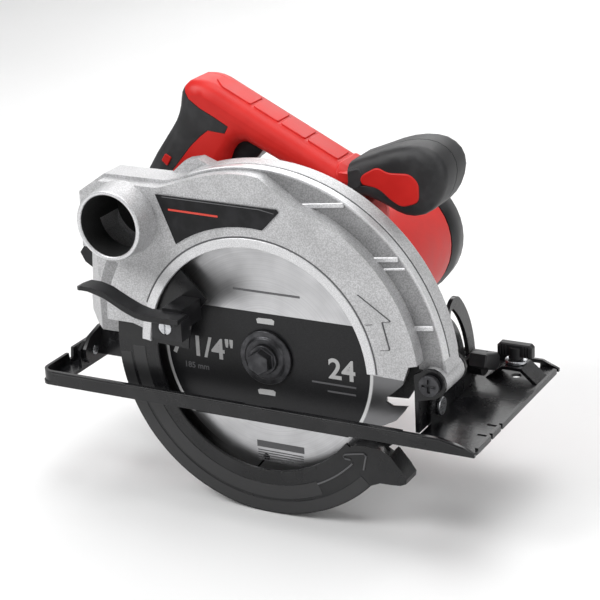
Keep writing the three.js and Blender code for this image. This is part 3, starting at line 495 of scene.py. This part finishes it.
def piece(name, bm, material, body, bevel=0.0, segments=2, angle=30):
    """A mesh piece in the row frame that rides on a body, with its edges over angle rounded by bevel."""
    bmesh.ops.recalc_face_normals(bm, faces=bm.faces)
    mesh = bpy.data.meshes.new(name)
    bm.to_mesh(mesh)
    bm.free()
    mesh.materials.append(MATERIALS[material])
    for p in mesh.polygons:
        p.use_smooth = True
    o = bpy.data.objects.new(name, mesh)
    scene.collection.objects.link(o)
    if bevel:
        m = o.modifiers.new("bevel", "BEVEL")
        m.width = bevel / 1000
        m.segments = segments
        m.limit_method = "ANGLE"
        m.angle_limit = math.radians(angle)
        m.harden_normals = True
    w = o.modifiers.new("weighted", "WEIGHTED_NORMAL")
    w.keep_sharp = True
    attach(o, body)


def join_loops(bm, loops, ring=False):
    """Adds the faces of a closed form from the loops of vertices along it, which meet again in a ring."""
    following = loops[1:] + loops[:1] if ring else loops[1:]
    for a, b in zip(loops, following):
        for i in range(len(a)):
            j = (i + 1) % len(a)
            bm.faces.new((a[i], a[j], b[j], b[i]))
    if not ring:
        bm.faces.new(loops[0])
        bm.faces.new(loops[-1])


def slab(bm, outline, near, far):
    """Adds an outline in the XZ plane, drawn out along Y from near to far."""
    join_loops(bm, [[bm.verts.new(at(x, y, z)) for x, z in outline] for y in (near, far)])


def band(bm, inner, outer, start, end, near, far, steps):
    """Adds part of a ring about the blade's axis."""
    loops = []
    for i in range(steps + 1):
        a = start + (end - start) * i / steps
        (x0, z0), (x1, z1) = polar(inner, a), polar(outer, a)
        corners = ((x0, near, z0), (x1, near, z1), (x1, far, z1), (x0, far, z0))
        loops.append([bm.verts.new(at(*p)) for p in corners])
    join_loops(bm, loops)


def sweep(bm, points, radius, sides, closed=False):
    """Adds a round bead along row-frame points. radius may be a list, with one for each point."""
    n = len(points)
    up = Vector((0, 0, 1))
    rings = []
    for i, p in enumerate(points):
        before = points[i - 1] if i or closed else p
        after = points[(i + 1) % n] if i < n - 1 or closed else p
        t = (after - before).normalized()
        side = t.cross(up if abs(t.z) < 0.9 else Vector((0, 1, 0))).normalized()
        top = side.cross(t)
        r = radius[i] if isinstance(radius, list) else radius
        rings.append([bm.verts.new(p + r / 1000 * (math.cos(a) * side + math.sin(a) * top))
                      for a in (2 * math.pi * k / sides for k in range(sides))])
    join_loops(bm, rings, ring=closed)


def turned_edge(bm, profile, x, z, steps=64):
    """Adds a ring turned about an axis along Y at (x, z). The profile is a loop of (radius, y) points."""
    rings = []
    for r, y in profile:
        circle = [polar(r, 360 * k / steps) for k in range(steps)]
        rings.append([bm.verts.new(at(x + u, y, z + v)) for u, v in circle])
    join_loops(bm, rings, ring=True)


def rounded(points, radius, steps=5):
    """The outline with its corners rounded."""
    made = []
    n = len(points)
    for i, p in enumerate(points):
        p = Vector(p)
        a, b = Vector(points[i - 1]) - p, Vector(points[(i + 1) % n]) - p
        cut = min(radius, a.length * 0.45, b.length * 0.45)
        start, end = p + a.normalized() * cut, p + b.normalized() * cut
        for k in range(steps + 1):
            t = k / steps
            made.append(tuple((1 - t) ** 2 * start + 2 * t * (1 - t) * p + t * t * end))
    return made


# ---------------------------------------------------------------- upper guard

WINDOW_LIP_OUTER = 77.9
RIM_ARC = (8, 112)

# Painted highlight: the lip round the window is paler than the casting.
bm = bmesh.new()
band(bm, 72.3, WINDOW_LIP_OUTER, 4, 176, UPPER_GUARD_FACE - 0.55, UPPER_GUARD_FACE + 0.5, 88)
piece("window_lip", bm, "edge_highlight", "saw", bevel=0.25)
# Painted shade: a thin dark ring on the face just outside the window lip.
bm = bmesh.new()
band(bm, WINDOW_LIP_OUTER + 0.1, 79.0, 4, 158, UPPER_GUARD_FACE - 0.06, UPPER_GUARD_FACE + 0.5, 80)
piece("window_groove_shade", bm, "groove_shade", "saw", bevel=0.1)

# Two beads run round the rim, on each side of a groove; the near one is paler than the casting as a painted
# highlight.
bm = bmesh.new()
band(bm, UPPER_GUARD_RIM - 0.8, UPPER_GUARD_RIM + 0.45, *RIM_ARC, -4.9, 0.9, 72)
piece("rim_near_bead", bm, "edge_highlight", "saw", bevel=0.4)
bm = bmesh.new()
band(bm, UPPER_GUARD_RIM - 0.8, UPPER_GUARD_RIM + 0.4, *RIM_ARC, 2.6, 13.9, 72)
piece("rim_far_bead", bm, "cast_aluminium", "saw", bevel=0.4)
# Painted shade: the groove between the two beads is dark.
bm = bmesh.new()
band(bm, UPPER_GUARD_RIM - 0.7, UPPER_GUARD_RIM + 0.1, *RIM_ARC, 0.6, 3.0, 72)
piece("rim_groove_shade", bm, "groove_shade", "saw")

# A raised arrow that shows which way the blade turns, with a painted shadow round its foot: a dark line set
# off towards its lower right.
turn_arrow = rounded([(67.5, 53.0), (87.7, 39.6), (82.4, 38.6), (86.7, 22.2), (80.6, 21.3), (77.2, 36.6),
                      (71.8, 35.4)], 0.8)
bm = bmesh.new()
slab(bm, turn_arrow, UPPER_GUARD_FACE - 0.8, UPPER_GUARD_FACE + 0.3)
piece("turn_arrow", bm, "cast_aluminium", "saw", bevel=0.3, segments=3, angle=40)
bm = bmesh.new()
sweep(bm, [at(x + 0.25, UPPER_GUARD_FACE - 0.05, z - 0.15) for x, z in turn_arrow], 0.42, 8, closed=True)
piece("turn_arrow_shadow", bm, "groove_shade", "saw")

# Steps cast across the ledge: the ends of each one's upper edge, and how far it stands out.
LEDGE_STEPS = (
    ((28.9, 99.6), (57.0, 103.2), 1.5),
    ((71.5, 72.6), (89.6, 75.0), 1.5),
    ((75.5, 66.2), (93.6, 68.9), 0.8),
    ((96.0, 34.7), (110.2, 36.6), 1.5),
)
# Painted highlight: the steps are paler than the casting.
bm = bmesh.new()
for (x0, z0), (x1, z1), proud in LEDGE_STEPS:
    drop = 2.0 * proud
    slab(bm, [(x0, z0), (x1, z1), (x1, z1 - drop), (x0, z0 - drop)],
         UPPER_GUARD_LEDGE - 0.2 - proud, UPPER_GUARD_LEDGE + 0.4)
piece("ledge_steps", bm, "edge_highlight", "saw", bevel=0.5, segments=3)

# Painted highlight: the edge round the mouth of the dust outlet is paler than the casting.
bm = bmesh.new()
inner, outer = PORT_BORE, PORT_BORE + 2.5
back, edge, front = PORT_MOUTH + 0.6, PORT_MOUTH - 0.1, PORT_MOUTH - 0.55
turned_edge(bm, [(inner, back), (inner, edge), (inner + 0.6, front), (outer - 0.6, front), (outer, edge),
                 (outer, back)], *PORT)
piece("port_mouth_edge", bm, "edge_highlight", "saw")

# The label has a plain bar in place of its wording, and a fine line along its upper edge.
bm = bmesh.new()
slab(bm, [(-52.6, 90.6), (-19.5, 90.0), (-19.5, 88.8), (-52.6, 89.4)], LABEL_FACE - 0.08, LABEL_FACE + 0.04)
piece("label_bar", bm, "red_ink", "saw")
bm = bmesh.new()
slab(bm, [(-56.6, 97.6), (7.6, 96.9), (17.6, 95.2), (17.2, 94.9), (7.5, 96.4), (-56.2, 97.1)],
     LABEL_FACE - 0.04, LABEL_FACE + 0.04)
piece("label_border", bm, "grey_ink_and_highlight", "saw")

# ---------------------------------------------------------------- base

bm = bmesh.new()
sweep(bm, [at(x, -24.98, z) for x, z in ((-139.0, -21.85), (-100.0, -21.95), (-50.0, -22.05), (0.0, -22.2),
                                         (60.0, -22.35), (110.0, -22.5), (121.5, -22.65), (128.5, -24.1),
                                         (135.5, -25.7))], 1.05, 12)
piece("near_flange_bead", bm, "black_steel", "base")
# Painted shade: a dark slab on the near flange stands for the shaded opening of a slot.
bm = bmesh.new()
slab(bm, rounded([(101.0, -27.6), (113.5, -27.6), (113.5, -25.4), (101.0, -25.4)], 0.8), -25.95, -25.5)
piece("near_flange_slot_shade", bm, "black_plastic", "base", bevel=0.1)

# ---------------------------------------------------------------- blade print

CAPITAL_HEIGHT = 0.69  # of the font's size


def printed(name, words, x, z, height, material="white_ink"):
    """Flat printed figures on the outer face of the blade."""
    curve = bpy.data.curves.new(name, "FONT")
    curve.body = words
    curve.size = height / 1000 / CAPITAL_HEIGHT
    curve.extrude = 0.00002
    curve.offset = height * 0.00003
    source = bpy.data.objects.new(name + "_source", curve)
    scene.collection.objects.link(source)
    bpy.context.view_layer.update()
    mesh = bpy.data.meshes.new_from_object(source.evaluated_get(bpy.context.evaluated_depsgraph_get()))
    bpy.data.objects.remove(source)
    place = Matrix.Translation(at(x, BLADE_FACE - 0.04, z))
    mesh.transform(place @ Matrix.Rotation(math.radians(90), 4, "X"))
    mesh.materials.clear()
    mesh.materials.append(MATERIALS[material])
    mesh.name = name
    o = bpy.data.objects.new(name, mesh)
    scene.collection.objects.link(o)
    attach(o, "spindle")


def printed_box(bm, x0, x1, z0, z1, proud):
    """A printed rectangle on the outer face of the blade."""
    slab(bm, [(x0, z0), (x1, z0), (x1, z1), (x0, z1)], BLADE_FACE - proud, BLADE_FACE + 0.02)


printed("print_teeth_number", "24", 40.4, -7.0, 12.3)
printed("print_diameter_inches", '7 1/4"', -66.0, -6.0, 12.5)
printed("print_diameter_mm", "185 mm", -57.5, -14.5, 3.6, material="grey_ink_and_highlight")
bm = bmesh.new()
turn_mark = ((-5.6, -1.5), (-6.2, 1.0), (-4.6, 1.9), (4.2, 2.2), (5.8, 1.2), (5.4, -1.4))
for x, z in ((0.4, 22.3), (-1.2, -23.2)):
    slab(bm, [(x + u, z + v) for u, v in turn_mark], BLADE_FACE - 0.08, BLADE_FACE + 0.02)
piece("print_turn_marks", bm, "white_ink", "spindle")
bm = bmesh.new()
for x0, x1, z in ((29.5, 58.3, -11.5), (39.5, 58.0, -16.2)):
    printed_box(bm, x0, x1, z, z + 1.1, 0.07)
piece("print_rules", bm, "grey_ink_and_highlight", "spindle")

# Plain bars in place of the wording above the band and of the panel below it.
bm = bmesh.new()
printed_box(bm, -20.5, 24.0, 40.0, 41.4, 0.08)
printed_box(bm, -10.0, 22.0, -59.5, -55.3, 0.08)
for line, length in enumerate((31, 31, 31, 24, 31)):
    top = -61.2 - 1.6 * line
    printed_box(bm, -9.6, -9.6 + length, top - 0.7, top, 0.07)
piece("print_dark_marks", bm, "grey_ink_and_highlight", "spindle")

# ---------------------------------------------------------------- lower guard

bm = bmesh.new()
band(bm, 89.0, 96.6, 184, 316, LOWER_GUARD_FACE - 0.22, LOWER_GUARD_FACE + 0.3, 80)
band(bm, 78.6, 87.7, 181, 296, LOWER_GUARD_FACE - 0.22, LOWER_GUARD_FACE + 0.3, 72)
band(bm, 69.8, 72.0, 179, 299, LOWER_GUARD_FACE - 0.25, LOWER_GUARD_FACE + 0.3, 72)
piece("guard_bands", bm, "guard_steel", "swing_guard", bevel=0.15, segments=2)
# Painted highlight: the embossed arrow on the lower guard is drawn as beads paler than the guard.
bm = bmesh.new()
arrow_head = ((66.0, -57.6), (67.0, -52.6), (67.8, -48.6), (66.6, -47.2), (60.0, -48.4), (54.0, -49.8),
              (53.0, -51.2), (54.2, -52.4), (57.6, -52.6))
sweep(bm, [at(x, LOWER_GUARD_FACE - 0.3, z) for x, z in arrow_head], 0.6, 8)
shaft = [polar(80.5, a) for a in range(296, 318, 3)]
sweep(bm, [at(x, LOWER_GUARD_FACE - 0.35, z) for x, z in shaft], 0.55, 8)
piece("guard_arrow", bm, "grey_ink_and_highlight", "swing_guard")

# ---------------------------------------------------------------- handle and knob

BAR_DROP = 0.5  # how far the top of the handle bar falls for each millimetre forward
BAR_NEAR, BAR_FAR = 52.2, 67.8


def on_bar(x, y, lift):
    """A point over the flat top of the handle bar."""
    return at(x, y, 121 - BAR_DROP * x) + lift / 1000 * Vector((BAR_DROP, 0, 1)).normalized()


bm = bmesh.new()
for start, end in ((-57.0, -31.9), (-30.3, -13.9), (-12.3, 3.7), (5.3, 25.0)):
    rear = [(start, BAR_FAR), (start, BAR_NEAR)]
    if start < -50:  # the rearmost pad is drawn in behind
        rear = [(start + 6, BAR_FAR), (start, 63.0), (start, 57.0), (start + 6, BAR_NEAR)]
    outline = rounded([*rear, (end, BAR_NEAR), (end, BAR_FAR)], 1.6)
    join_loops(bm, [[bm.verts.new(on_bar(x, y, lift)) for x, y in outline] for lift in (-0.4, 0.75)])
piece("bar_pads", bm, "red_plastic", "saw", bevel=0.5, segments=3, angle=50)


def section(x, low, high, near, far, corner, steps=6):
    """A rounded rectangle across the handle bar, as row-frame points."""
    points = []
    for y, z, start in ((far - corner, high - corner, 0), (near + corner, high - corner, 90),
                        (near + corner, low + corner, 180), (far - corner, low + corner, 270)):
        for k in range(steps + 1):
            a = math.radians(start + 90 * k / steps)
            points.append(at(x, y + corner * math.cos(a), z + corner * math.sin(a)))
    return points


bm = bmesh.new()
collar = (section(27.0, 86.6, 107.9, 43.8, 76.2, 8.0), section(27.9, 86.2, 108.2, 43.2, 76.8, 8.4),
          section(34.9, 86.5, 104.6, 43.0, 77.0, 8.4), section(35.7, 86.9, 103.7, 43.5, 76.5, 8.0))
join_loops(bm, [[bm.verts.new(p) for p in ring] for ring in collar])
piece("bar_collar", bm, "red_plastic", "saw", bevel=0.4, angle=40)

bm = bmesh.new()
inlay = rounded([(44.5, 102.6), (47.5, 105.6), (56.0, 110.6), (62.4, 107.6), (76.6, 108.4), (82.2, 103.4),
                 (82.2, 91.6), (71.4, 87.6), (64.6, 91.0), (56.6, 97.6), (46.0, 98.8)], 4.2, 6)
slab(bm, inlay, KNOB_FACE - 0.75, KNOB_FACE + 1.7)
piece("knob_inlay", bm, "red_plastic", "saw", bevel=0.9, segments=4, angle=50)

bm = bmesh.new()
wrap = rounded([(36.8, 96.4), (36.8, 106.4), (44.0, 108.6), (46.4, 105.6), (45.4, 98.0), (42.0, 95.6)], 2.0)
slab(bm, wrap, KNOB_FACE - 0.55, KNOB_FACE + 2.5)
piece("knob_wrap", bm, "grip_rubber", "saw", bevel=0.8, segments=4, angle=50)
bm = bmesh.new()
slab(bm, rounded([(-91.8, 99.4), (-88.7, 103.9), (-84.4, 101.7), (-87.8, 96.0)], 0.9), 43.3, 45.0)
piece("grip_mark", bm, "red_plastic", "saw", bevel=0.4, segments=3, angle=50)

# ---------------------------------------------------------------- fence screw and guard lever

bm = bmesh.new()
for side in (-1, 1):
    for out in (5.6, 7.4, 9.2):
        for near, far in ((83.85, 85.0), (90.0, 91.15)):
            x = FENCE_SCREW_X + side * out
            slab(bm, [(x - 0.5, -14.2), (x + 0.5, -14.2), (x + 0.5, -7.8), (x - 0.5, -7.8)], near, far)
piece("fence_wing_ribs", bm, "black_plastic", "fence_clamp", bevel=0.3, segments=3)

# Points along the lever's near edge, each with the edge's radius there.
LEVER_EDGE = (
    (-99.5, 44.1, 0.3), (-95.0, 43.9, 1.1), (-90.0, 43.2, 1.5), (-84.0, 41.5, 1.55), (-78.5, 38.9, 1.55),
    (-73.0, 36.0, 1.5), (-68.5, 33.9, 1.5), (-63.0, 31.9, 1.5), (-58.0, 31.1, 1.5), (-48.0, 30.9, 1.5),
    (-36.0, 30.9, 1.5),
)
bm = bmesh.new()
sweep(bm, [at(x, -41.4, z) for x, z, _ in LEVER_EDGE], [radius for _, _, radius in LEVER_EDGE], 12)
piece("lever_rolled_edge", bm, "black_plastic", "swing_guard")

# ---------------------------------------------------------------- studio


def soft_light(name, place, size, power, target=(-0.10, 0.05, 0.05)):
    """A rectangular area light that faces target, in metres and watts."""
    data = bpy.data.lights.new(name, "AREA")
    data.shape = "RECTANGLE"
    data.size, data.size_y = size
    data.energy = power
    o = bpy.data.objects.new(name, data)
    scene.collection.objects.link(o)
    o.location = place
    o.rotation_euler = (Vector(target) - Vector(place)).to_track_quat("-Z", "Y").to_euler()


soft_light("key", (-0.75, -0.75, 0.95), (0.7, 0.6), 11)
soft_light("top", (0.0, 0.15, 1.25), (0.9, 0.7), 8)
soft_light("right_fill", (1.1, -0.35, 0.55), (0.7, 0.8), 4)
soft_light("rim", (-0.5, 1.0, 0.8), (0.9, 0.5), 5)
soft_light("backdrop", (0.0, 0.95, 0.9), (2.4, 0.3), 6, (0.0, 1.70, 0.24))

world = bpy.data.worlds.new("studio")
world.use_nodes = True
world.node_tree.nodes["Background"].inputs["Color"].default_value = (1, 1, 1, 1)
world.node_tree.nodes["Background"].inputs["Strength"].default_value = 0.30
scene.world = world
scene.view_settings.view_transform = "Standard"

floor_shader = Shader("studio_floor")
cloud = floor_shader.noise(220, 2.0)
floor_shader.finish(floor_shader.mix(cloud, (0.86, 0.86, 0.86), (0.90, 0.90, 0.90)),
                    floor_shader.remap(cloud, 0.3, 0.7, 0.55, 0.65))

# The floor lies just under the object's lowest point and curves up behind it.
bm = bmesh.new()
floor_z = cad_low.z - 0.0004
profile = [(-2.2, 0.0), (0.9, 0.0), (1.2, 0.03), (1.5, 0.14), (1.7, 0.35), (1.8, 1.6)]
rows = [[bm.verts.new((x, y, floor_z + z)) for y, z in profile] for x in (-4, 4)]
for i in range(len(profile) - 1):
    bm.faces.new((rows[0][i], rows[1][i], rows[1][i + 1], rows[0][i + 1]))
mesh = bpy.data.meshes.new("floor")
bm.to_mesh(mesh)
bm.free()
mesh.materials.append(floor_shader.material)
for p in mesh.polygons:
    p.use_smooth = True
floor = bpy.data.objects.new("floor", mesh)
scene.collection.objects.link(floor)

# ---------------------------------------------------------------- camera

azimuth, elevation, roll = math.radians(28.13), math.radians(20.77), math.radians(-2.66)
back = Vector((math.sin(azimuth) * math.cos(elevation), -math.cos(azimuth) * math.cos(elevation),
               math.sin(elevation)))
level = Vector((math.cos(azimuth), math.sin(azimuth), 0))
above = back.cross(level)
right = math.cos(roll) * level + math.sin(roll) * above
up = math.cos(roll) * above - math.sin(roll) * level
camera = bpy.data.objects.new("camera", bpy.data.cameras.new("camera"))
camera.matrix_world = Matrix((right, up, back)).transposed().to_4x4()
camera.location = (0.41693, -0.94210, 0.47412)
camera.data.sensor_width = 36
camera.data.lens = 118.86
camera.data.shift_x, camera.data.shift_y = -0.0247, 0.0031
scene.collection.objects.link(camera)
scene.camera = camera
